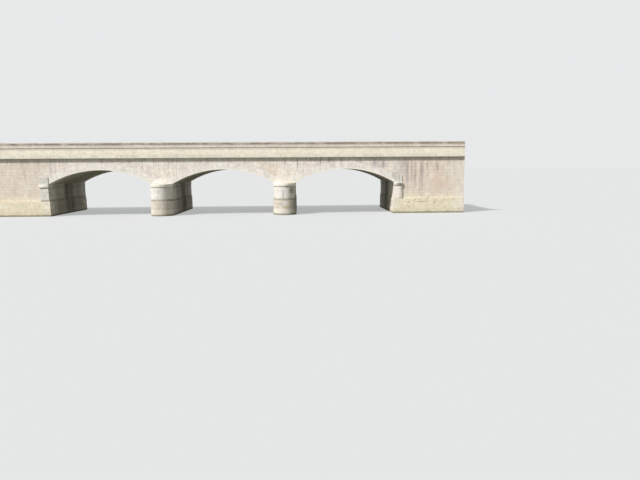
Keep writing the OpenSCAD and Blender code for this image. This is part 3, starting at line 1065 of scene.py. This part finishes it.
def build_pier(side_name, blocks):
    """Plinth and shaft, laid right round; each course starts half a stone on from the last."""
    side = SIDES[side_name]
    rng = np.random.default_rng(100 + side)
    # An upright joint stands a little to one side of the middle of the nose
    start = 0.38

    def all_round(low, high):
        return start, start + 2 * (NOSE_RUN + FLANK_RUN)

    node = f"pier_{side_name}_plinth"
    courses = levels(rng, 0.0, PLINTH_Z, height=0.30)
    stones = coursed(rng, courses, all_round, JOINT, length=0.78, depth=0.22, vary=0.12)
    laid = lay("pier", blocks["long"], stones, round_pier(side, LEDGE), rng, rough=0.001)
    draw_in = drawn_in_pier(side, LEDGE, PLINTH_Z - RECESS)
    seat_on_bed(node, "pier_stone", "pier_mortar", draw_in, laid)

    # Two courses of big blocks, and above them a thin one along each flank, between the caps
    node = f"pier_{side_name}_shaft"
    middle = PLINTH_Z + (CAP_Z - PLINTH_Z) * 0.67
    courses = [(PLINTH_Z, middle), (middle, CAP_Z)]
    stones = coursed(
        rng, courses, all_round, WIDE_JOINT, length=0.88, depth=BLOCK_DEPTH, vary=0.03
    )
    lower = lay("pier", blocks["long"], stones, round_pier(side), rng, rough=0.001)
    flanks = []
    for first in (NOSE_RUN, 2 * NOSE_RUN + FLANK_RUN):
        ends = (first, first + FLANK_RUN)
        flanks += coursed(rng, [(CAP_Z, SPRINGING_Z)], lambda low, high: ends, JOINT, length=0.85)
    upper = lay("pier", blocks["long"], flanks, round_pier(side), rng)
    draw_in = drawn_in_pier(side, 0.0, SPRINGING_Z)
    seat_on_bed(node, "pier_stone", "pier_mortar", draw_in, lower, upper)

    build_saddle(side_name, blocks)
    build_pier_caps(side_name)


def build_saddle(side_name, blocks):
    """Two springer blocks at each face, between the feet of the rings."""
    side = SIDES[side_name]
    rng = np.random.default_rng(140 + side)
    node = f"pier_{side_name}_saddle"
    gap = JOINT / PIER_HALF
    low, high, depth = SPRINGING_Z + JOINT, SKEW_TOP - JOINT, HALF_W - INNER_W
    stones = [
        (u0, u1, low, high, -depth, 0.0) for u0, u1 in ((-1 + gap, -gap / 2), (gap / 2, 1 - gap))
    ]
    parts = [
        lay("ring", blocks["ashlar"], stones, between_feet(side, face), rng)
        for face in FACES.values()
    ]
    seat_on_bed(node, "spandrel_stone", "ring_mortar", behind_walls, *parts)


def ease_edges(piece, width, angle, segments=1):
    """Bevels the sharp edges of a piece."""
    ease = piece.modifiers.new("ease", "BEVEL")
    ease.width = width
    ease.segments = segments
    ease.limit_method = "ANGLE"
    ease.angle_limit = radians(angle)
    select_only(piece)
    bpy.ops.object.modifier_apply(modifier=ease.name)


def build_pier_caps(side_name):
    """Each cap is cut into three stones by two joints square to the wall, its edges eased."""
    side = SIDES[side_name]
    node = f"pier_{side_name}_caps"
    strip, half_joint = CAP_R * 0.36, JOINT / 2
    cuts = [
        (-CAP_R * 2, -strip - half_joint),
        (-strip + half_joint, strip - half_joint),
        (strip + half_joint, CAP_R * 2),
    ]
    parts = []
    for low, high in cuts:
        piece = copy_of_node(node, "cap", merge=0.0005, dissolve=radians(1.5))
        bpy.ops.object.mode_set(mode="EDIT")
        for place, away in ((low, -1), (high, 1)):
            bpy.ops.mesh.select_all(action="SELECT")
            bpy.ops.mesh.bisect(
                plane_co=(side * PIER_X + place, 0, 0), plane_no=(away, 0, 0),
                use_fill=True, clear_outer=True,
            )
        bpy.ops.mesh.select_all(action="SELECT")
        bpy.ops.mesh.normals_make_consistent(inside=False)
        bpy.ops.object.mode_set(mode="OBJECT")
        ease_edges(piece, CAP_ARRIS, angle=20)
        add_tones(piece, 0.4 + 0.1 * len(parts))
        parts.append(piece)
    seat(node[:-1] + "_stones", "cap_stone", [node], *parts, angle=30)


# Arches


def drawn_up(arch):
    """Draws the soffit of an arch's solid up, and its faces in."""
    def draw(points):
        behind_walls(points)
        x, z = points[:, 0] - arch * PITCH, points[:, 2] - ARCH_Z
        r = np.hypot(x, z)
        grown = np.maximum(r, SOFFIT_R + RECESS) / r
        points[:, 0] = arch * PITCH + x * grown
        points[:, 2] = ARCH_Z + z * grown
    return draw


def build_arch(arch_name, blocks):
    """A ring of cut stones at each face; they reach under the vault by turns, long and short."""
    arch = ARCHES[arch_name]
    rng = np.random.default_rng(200 + arch)
    stones_round = 27
    toothing = 0.16
    around = SOFFIT_R * ARCH_ANGLE
    cuts = np.linspace(-around, around, stones_round + 1)
    pairs = list(zip(cuts[:-1], cuts[1:]))

    node = f"arch_{arch_name}_rings"
    ring = [
        box(u0, u1, 0.0, RING_DEPTH, FINE_JOINT, HALF_W - INNER_W + toothing * (1 - i % 2))
        for i, (u0, u1) in enumerate(pairs)
    ]
    parts = [lay("ring", blocks["corner"], ring, on_ring(arch, face), rng) for face in FACES.values()]
    bed = bed_behind(node, "ring_mortar", drawn_up(arch))
    seat(node[:-1] + "_stones", "ring_stone", [node], *parts, bed)

    node = f"arch_{arch_name}_barrel"
    vault = []
    for i, (u0, u1) in enumerate(pairs):
        edge = INNER_W - toothing * (1 - i % 2)
        for v0, v1 in lengths(rng, -edge, edge, length=0.62, phase=half_bond(i), vary=0.2):
            vault.append(box(u0, u1, v0, v1, JOINT, STONE_DEPTH))
    laid = lay("vault", blocks["rubble"], vault, on_soffit(arch), rng, rough=0.002, pillow=0.004)
    seat_on_bed(node, "barrel_stone", "vault_mortar", drawn_up(arch), laid)


# Spandrels

# Small squared stones: how they are set out, and how uneven they are
WALL_STONES = dict(joint=WIDE_JOINT, length=0.46, vary=0.24)
SQUARED = dict(rough=0.002, wobble=0.0025, pillow=0.003, jitter=0.002)
# A course starts where the ring's back leaves this much of its height
SLIVER = 0.045


def ring_back_at(z):
    """How far from an arch's crown the back of its ring is, at a height."""
    return sqrt(max(0.0, (EXTRADOS_R + JOINT) ** 2 - (z - ARCH_Z) ** 2))


def over_rings(*arches):
    """The level of the rings' backs at a place along the wall."""
    def lowest(u):
        away = np.min([np.abs(u - arch * PITCH) for arch in arches], axis=0)
        return ARCH_Z + np.sqrt(np.maximum((EXTRADOS_R + JOINT) ** 2 - away ** 2, 0.0))
    return lowest


def build_pier_spandrel(side_name, face_name, blocks):
    """The wall over a pier: courses up to the rings' crowns, and thinner ones over them."""
    side, face = SIDES[side_name], FACES[face_name]
    rng = np.random.default_rng(300 + 10 * side + face)
    node = f"spandrel_{side_name}_pier_{face_name}"
    crown = ARCH_Z + EXTRADOS_R + JOINT

    def span_at(low, high):
        back = ring_back_at(high - SLIVER)
        return back, PITCH - back

    courses = levels(rng, SKEW_TOP, crown, height=0.235)
    courses += levels(rng, crown, STRING_Z, height=0.18)
    stones = coursed(rng, courses, span_at, **WALL_STONES)
    place = on_wall(face, side)
    laid = lay("wall", blocks["rubble"], stones, place, rng, lowest=over_rings(0, 1), **SQUARED)
    seat_on_bed(node, "spandrel_stone", "wall_mortar", behind_walls, laid)


def quoins(low, high, count):
    """Corner stones at the bridge's end, long and short by turns."""
    cuts = np.linspace(low, high, count + 1)
    return [
        box(END_X - (QUOIN_LONG if i % 2 else QUOIN_SHORT), END_X + JOINT / 2, v0, v1, JOINT,
            HALF_W - INNER_W)
        for i, (v0, v1) in enumerate(zip(cuts[:-1], cuts[1:]))
    ]


def quoin_reach(low, high, count, z):
    """Length of the corner stone at a height."""
    i = min(count - 1, int((z - low) / (high - low) * count))
    return QUOIN_LONG if i % 2 else QUOIN_SHORT


def build_end_spandrel(side_name, face_name, blocks):
    """The wall over an abutment, two courses to each corner stone."""
    side, face = SIDES[side_name], FACES[face_name]
    rng = np.random.default_rng(340 + 10 * side + face)
    node = f"spandrel_{side_name}_end_{face_name}"
    corners = 3

    def span_at(low, high):
        corner = quoin_reach(SKEW_TOP, STRING_Z, corners, (low + high) / 2)
        return PITCH + ring_back_at(high - SLIVER), END_X - corner

    height = (STRING_Z - SKEW_TOP) / (2 * corners)
    courses = levels(rng, SKEW_TOP, STRING_Z, height, vary=0.0)
    stones = coursed(rng, courses, span_at, **WALL_STONES)
    place = on_wall(face, side)
    walls = lay("wall", blocks["rubble"], stones, place, rng, lowest=over_rings(1), **SQUARED)
    chain = lay("wall", blocks["corner"], quoins(SKEW_TOP, STRING_Z, corners), place, rng)
    seat_on_bed(node, "spandrel_stone", "wall_mortar", behind_walls, walls, chain)


# Abutments


def build_abutment(side_name, blocks):
    build_abutment_body(side_name, blocks)
    build_abutment_plinth(side_name, blocks)
    build_pilasters(side_name, blocks)
    build_pilaster_caps(side_name)
    build_end(side_name, blocks)


# How far the stones of a pilaster run back under the arch, from the lowest up
PILASTER_TAILS = (0.34, 0.62, 0.34)


def pilaster_courses():
    """The foot, the head and the tail of each course from the plinth to the cap."""
    cuts = np.linspace(PLINTH_Z, CAP_Z, len(PILASTER_TAILS) + 1)
    return list(zip(cuts[:-1], cuts[1:], PILASTER_TAILS))


def build_abutment_body(side_name, blocks):
    """Return walls at the front and back, and the face under the arch between the pilasters."""
    side = SIDES[side_name]
    rng = np.random.default_rng(400 + side)
    node = f"abutment_{side_name}_body"
    corners = 4
    behind_pilaster = 0.05

    def span_at(low, high):
        corner = quoin_reach(PLINTH_Z, SKEW_TOP, corners, (low + high) / 2)
        return PILASTER_X - behind_pilaster, END_X - corner

    parts = []
    for face in FACES.values():
        height = (SKEW_TOP - PLINTH_Z) / (2 * corners)
        courses = levels(rng, PLINTH_Z, SKEW_TOP, height, vary=0.0)
        stones = coursed(rng, courses, span_at, **WALL_STONES)
        place = on_wall(face, side)
        parts.append(lay("wall", blocks["rubble"], stones, place, rng, **SQUARED))
        chain = quoins(PLINTH_Z, SKEW_TOP, corners)
        parts.append(lay("wall", blocks["corner"], chain, place, rng))

    inner = []
    for v0, v1, tail in pilaster_courses():
        edge = PILASTER_OUT - tail
        phase = rng.choice([0.5, 1.0])
        for u0, u1 in lengths(rng, -edge, edge, length=0.72, phase=phase, vary=0.15):
            inner.append(box(u0, u1, v0, v1, JOINT, BLOCK_DEPTH))
    for u0, u1 in lengths(rng, -HALF_W, HALF_W, length=0.8, phase=0.5, vary=0.1):
        inner.append(box(u0, u1, CAP_Z, SPRINGING_Z, JOINT, BLOCK_DEPTH))
    parts.append(lay("pier", blocks["ashlar"], inner, on_abutment(side), rng))

    def drawn_back(points):
        behind_walls(points)
        face_x = ABUTMENT_X - lean(points[:, 2]) + RECESS
        points[:, 0] = side * np.maximum(side * points[:, 0], face_x)

    seat_on_bed(node, "abutment_stone", "wall_mortar", drawn_back, *parts)


def build_pilasters(side_name, blocks):
    """Corner blocks below the cap, and the springer stone that stands on it."""
    side = SIDES[side_name]
    rng = np.random.default_rng(440 + side)
    node = f"abutment_{side_name}_pilasters"
    proud = PILASTER_OUT - HALF_W
    half = JOINT / 2
    blocks_below = [
        (ABUTMENT_X, PILASTER_X, v0 + half, v1 - half, proud - tail, proud)
        for v0, v1, tail in pilaster_courses()
    ]
    springer_proud = SPRINGER_OUT - HALF_W
    springer = [(ABUTMENT_X, PILASTER_X, SPRINGING_Z + half, SPRINGER_TOP, -0.2, springer_proud)]
    parts = []
    for face in FACES.values():
        place = on_pilaster(side, face, PILASTER_X)
        parts.append(lay("pier", blocks["corner"], blocks_below, place, rng, jitter=0.0))
        parts.append(lay("pier", blocks["corner"], springer, on_wall(face, side), rng, jitter=0.0))
    seat(node[:-1] + "_stones", "pier_stone", [node], *parts)


def build_pilaster_caps(side_name):
    """Each cap stands out from its pilaster by half of what its solid does, as in the photo."""
    side = SIDES[side_name]
    node = f"abutment_{side_name}_caps"
    piece = copy_of_node(node, "cap", merge=0.0005, dissolve=radians(1.0))
    for corner in piece.data.vertices:
        for axis, face in ((0, side * PILASTER_X), (1, copysign(PILASTER_OUT, corner.co.y))):
            if corner.co[axis] / face > 1:
                corner.co[axis] = (corner.co[axis] + face) / 2
    ease_edges(piece, CAP_ARRIS, angle=30, segments=2)
    add_tones(piece, 0.5)
    seat(node[:-1] + "_stones", "cap_stone", [node], piece, angle=30)


def build_abutment_plinth(side_name, blocks):
    """Four courses, with corner blocks under the pilasters that run back by turns."""
    side = SIDES[side_name]
    rng = np.random.default_rng(480 + side)
    node = f"abutment_{side_name}_plinth"
    tails = [0.72, 0.42] * 2
    courses = levels(rng, 0.0, PLINTH_Z, height=PLINTH_Z / len(tails), vary=0.0)
    foot_x = PILASTER_X + LEDGE
    proud = PLINTH_OUT - HALF_W
    half = JOINT / 2
    foot = [
        (ABUTMENT_X, foot_x, v0 + half, v1 - half, proud - tail, proud)
        for (v0, v1), tail in zip(courses, tails)
    ]
    parts = []
    for face in FACES.values():
        wall = coursed(
            rng, courses, lambda low, high: (foot_x, END_X + half), JOINT, length=0.62,
            depth=STONE_DEPTH + proud, vary=0.2, out=proud,
        )
        place = on_pilaster(side, face, foot_x, LEDGE)
        parts.append(lay("wall", blocks["corner"], foot, place, rng, jitter=0.0))
        parts.append(lay("wall", blocks["rubble"], wall, on_wall(face, side), rng, pillow=0.003))

    inner = []
    for i, ((v0, v1), tail) in enumerate(zip(courses, tails)):
        edge = PLINTH_OUT - tail
        for u0, u1 in lengths(rng, -edge, edge, length=0.74, phase=half_bond(i), vary=0.14):
            inner.append(box(u0, u1, v0, v1, JOINT, BLOCK_DEPTH))
    parts.append(lay("pier", blocks["ashlar"], inner, on_abutment(side, LEDGE), rng))

    edge = HALF_W - STONE_DEPTH - half
    end_stones = coursed(
        rng, courses, lambda low, high: (-edge, edge), WIDE_JOINT, length=0.6, vary=0.2
    )
    parts.append(lay("wall", blocks["rubble"], end_stones, on_end(side), rng, pillow=0.003))

    def drawn_in(points):
        face_x = ABUTMENT_X - lean(points[:, 2]) - LEDGE + RECESS
        points[:, 0] = side * np.clip(side * points[:, 0], face_x, END_X - RECESS)
        points[:, 1] = np.sign(points[:, 1]) * (PLINTH_OUT - RECESS)
        points[:, 2] = np.minimum(points[:, 2], PLINTH_Z - RECESS)

    # The step between the solid's two planes closes up, and its corners are merged
    bed = bed_behind(node, "wall_mortar", drawn_in)
    start_editing(bed)
    bpy.ops.mesh.remove_doubles(threshold=0.001)
    bpy.ops.object.mode_set(mode="OBJECT")
    seat(node + "_stones", "abutment_stone", [node], *parts, bed)


def build_end(side_name, blocks):
    """The bridge's end, where the approach bank would be: broken stone between the walls."""
    side = SIDES[side_name]
    rng = np.random.default_rng(520 + side)
    earth_recess = 0.02

    def drawn_in(points):
        points[:, 0] = side * np.minimum(side * points[:, 0], END_X - earth_recess)

    for node, low, high in (
        (f"abutment_{side_name}_fill", PLINTH_Z, SKEW_TOP),
        (f"hearting_{side_name}_end", SKEW_TOP, STRING_Z),
    ):
        courses = levels(rng, low, high, height=0.20)
        stones = coursed(
            rng, courses, lambda v0, v1: (-INNER_W, INNER_W), joint=0.03, length=0.30, vary=0.32,
            split=0.25,
        )
        laid = lay(
            "fill", blocks["rubble"], stones, on_end(side), rng,
            rough=0.006, wobble=0.006, pillow=0.012, jitter=0.015, recess=0.03,
        )
        seat_on_bed(node, "rubble_fill", "rubble", drawn_in, laid)


# String course, parapet and coping


def run_of_stones(rng, v0, v1, w0, w1, joint, length):
    """Stones in one line from end to end of the bridge, flush with its end faces."""
    stones = []
    for u0, u1 in lengths(rng, -END_X, END_X, length, phase=1.0, vary=0.06):
        left = u0 + (joint / 2 if u0 > -END_X + 1e-6 else 0.0)
        right = u1 - (joint / 2 if u1 < END_X - 1e-6 else 0.0)
        stones.append((left, right, v0, v1, w0, w1))
    return stones


def build_parapet(face_name, blocks):
    """String course, parapet wall and coping of one side, each a single line of long stones."""
    place = on_wall(FACES[face_name])
    rng = np.random.default_rng(600 + FACES[face_name])
    half = FINE_JOINT / 2
    inner, out = INNER_W - HALF_W, STRING_OUT - HALF_W
    courses = [
        ("string", f"string_course_{face_name}", 1.15, STRING_Z, PARAPET_Z - half, inner, out),
        ("parapet", f"parapet_{face_name}", 1.25, PARAPET_Z + half, COPING_Z - half,
         PARAPET_IN - HALF_W, 0.0),
        ("coping", f"coping_{face_name}", 1.15, COPING_Z + half, TOP_Z, COPING_IN - HALF_W,
         COPING_OUT - HALF_W),
    ]
    block_for = {"string": "string", "parapet": "ashlar", "coping": "coping"}
    for finish, node, length, v0, v1, w0, w1 in courses:
        stones = run_of_stones(rng, v0, v1, w0, w1, FINE_JOINT, length)
        rough = 0.0 if finish == "coping" else 0.001
        laid = lay(finish, blocks[block_for[finish]], stones, place, rng, rough=rough)
        seat(node + "_stones", finish + "_stone", [node], laid)


# Road


def build_road(blocks):
    rng = np.random.default_rng(700)
    flag_depth = 0.055
    kerb_parts, flag_parts = [], []
    for face in FACES.values():
        place = on_footway(face)
        kerbs = run_of_stones(
            rng, KERB_IN, KERB_OUT - FINE_JOINT, STRING_Z - FOOTWAY_Z, 0.0, FINE_JOINT, length=1.0
        )
        kerb_parts.append(lay("kerb", blocks["corner"], kerbs, place, rng))
        flags = run_of_stones(rng, KERB_OUT, PARAPET_IN, -flag_depth, 0.0, JOINT, length=0.85)
        flag_parts.append(lay("flag", blocks["ashlar"], flags, place, rng, jitter=0.003))
    seat("kerb_stones", "kerb_stone", ["kerbs"], *kerb_parts)

    def below_flags(points):
        points[:, 2] = np.minimum(points[:, 2], FOOTWAY_Z - RECESS)
        points[:, 0] = np.clip(points[:, 0], RECESS - END_X, END_X - RECESS)

    bed = bed_behind("footways", "flag_mortar", below_flags)
    seat("footway_flags", "flag_stone", ["footways"], *flag_parts, bed)
    for name, finish in (
        ("carriageway", "road"), ("hearting_left_pier", "rubble"), ("hearting_right_pier", "rubble"),
    ):
        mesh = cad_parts[name].data
        mesh.materials.clear()
        mesh.materials.append(MATERIALS[finish])


# Camera, light and floor


def set_camera():
    """The photograph's view: from the bank, a little above the water, nearly square to the bridge."""
    position = Vector((6.080, -45.908, 3.664))
    turn_right, tilt_down, roll = radians(2.218), radians(7.810), radians(0.382)
    focal_pixels, frame_pixels = 522.0, 640.0
    forward = Vector(
        (sin(turn_right) * cos(tilt_down), cos(turn_right) * cos(tilt_down), -sin(tilt_down))
    )
    right = Vector((cos(turn_right), -sin(turn_right), 0.0))
    up = right.cross(forward)
    leaning_right = right * cos(roll) - up * sin(roll)
    leaning_up = up * cos(roll) + right * sin(roll)
    axes = Matrix((leaning_right, leaning_up, -forward)).transposed()
    data = bpy.data.cameras.new("camera")
    data.sensor_width = 36.0
    data.lens = focal_pixels / frame_pixels * data.sensor_width
    data.clip_end = 5000.0
    camera = bpy.data.objects.new("camera", data)
    camera.matrix_world = Matrix.Translation(position) @ axes.to_4x4()
    bpy.context.scene.collection.objects.link(camera)
    bpy.context.scene.camera = camera


# What the camera sees of the floor and the sky
BACKDROP = (0.80, 0.815, 0.82)


def set_light():
    """A soft sun from the front left, and an even pale sky."""
    to_left, height = radians(57.0), radians(49.5)
    toward = Vector((-sin(to_left) * cos(height), -cos(to_left) * cos(height), sin(height)))
    data = bpy.data.lights.new("sun", "SUN")
    data.energy = 4.9
    data.angle = radians(6.0)
    data.color = (1.0, 0.985, 0.96)
    sun = bpy.data.objects.new("sun", data)
    sun.rotation_euler = toward.to_track_quat("Z", "Y").to_euler()
    bpy.context.scene.collection.objects.link(sun)

    world = bpy.data.worlds.new("sky")
    world.use_nodes = True
    bpy.context.scene.world = world
    tree = world.node_tree
    lit = tree.nodes["Background"]
    lit.inputs["Color"].default_value = (0.96, 0.98, 1.0, 1.0)
    lit.inputs["Strength"].default_value = 0.42
    seen = tree.nodes.new("ShaderNodeBackground")
    seen.inputs["Color"].default_value = (*BACKDROP, 1.0)
    path = tree.nodes.new("ShaderNodeLightPath")
    chosen = tree.nodes.new("ShaderNodeMixShader")
    tree.links.new(path.outputs["Is Camera Ray"], chosen.inputs[0])
    tree.links.new(lit.outputs[0], chosen.inputs[1])
    tree.links.new(seen.outputs[0], chosen.inputs[2])
    tree.links.new(chosen.outputs[0], tree.nodes["World Output"].inputs["Surface"])


def make_floor():
    """A plain pale floor under the water level; what it sends back up is dimmer, as from water."""
    width, gap = 4000.0, 0.004
    deselect_all()
    bpy.ops.mesh.primitive_plane_add(size=width, location=(0, 0, -gap))
    floor = bpy.context.object
    floor.name = "floor"
    f = Finish("floor_paint", Roughness=1.0, Specular_IOR_Level=0.0)
    seen = f.node("LightPath", output="Is Camera Ray")
    # In open light the painted part comes out as bright as the plain part of the mix
    painted = tuple(0.61 * c for c in BACKDROP)
    f.colour(f.mix(seen, (0.24, 0.25, 0.205), painted))
    plain = f.tree.nodes.new("ShaderNodeEmission")
    plain.inputs["Color"].default_value = (*BACKDROP, 1.0)
    blend = f.tree.nodes.new("ShaderNodeMixShader")
    f.plug(blend.inputs[0], seen * 0.5)
    f.tree.links.new(f.shader.outputs[0], blend.inputs[1])
    f.tree.links.new(plain.outputs[0], blend.inputs[2])
    f.tree.links.new(blend.outputs[0], f.tree.nodes["Material Output"].inputs["Surface"])
    floor.data.materials.append(f.material)


def build_bridge():
    blocks = model_blocks()
    make_materials()
    for side_name in SIDES:
        build_pier(side_name, blocks)
        build_abutment(side_name, blocks)
        for face_name in FACES:
            build_pier_spandrel(side_name, face_name, blocks)
            build_end_spandrel(side_name, face_name, blocks)
    for arch_name in ARCHES:
        build_arch(arch_name, blocks)
    for face_name in FACES:
        build_parapet(face_name, blocks)
    build_road(blocks)


set_camera()
set_light()
make_floor()
build_bridge()

scene = bpy.context.scene
scene.view_settings.view_transform = "Standard"
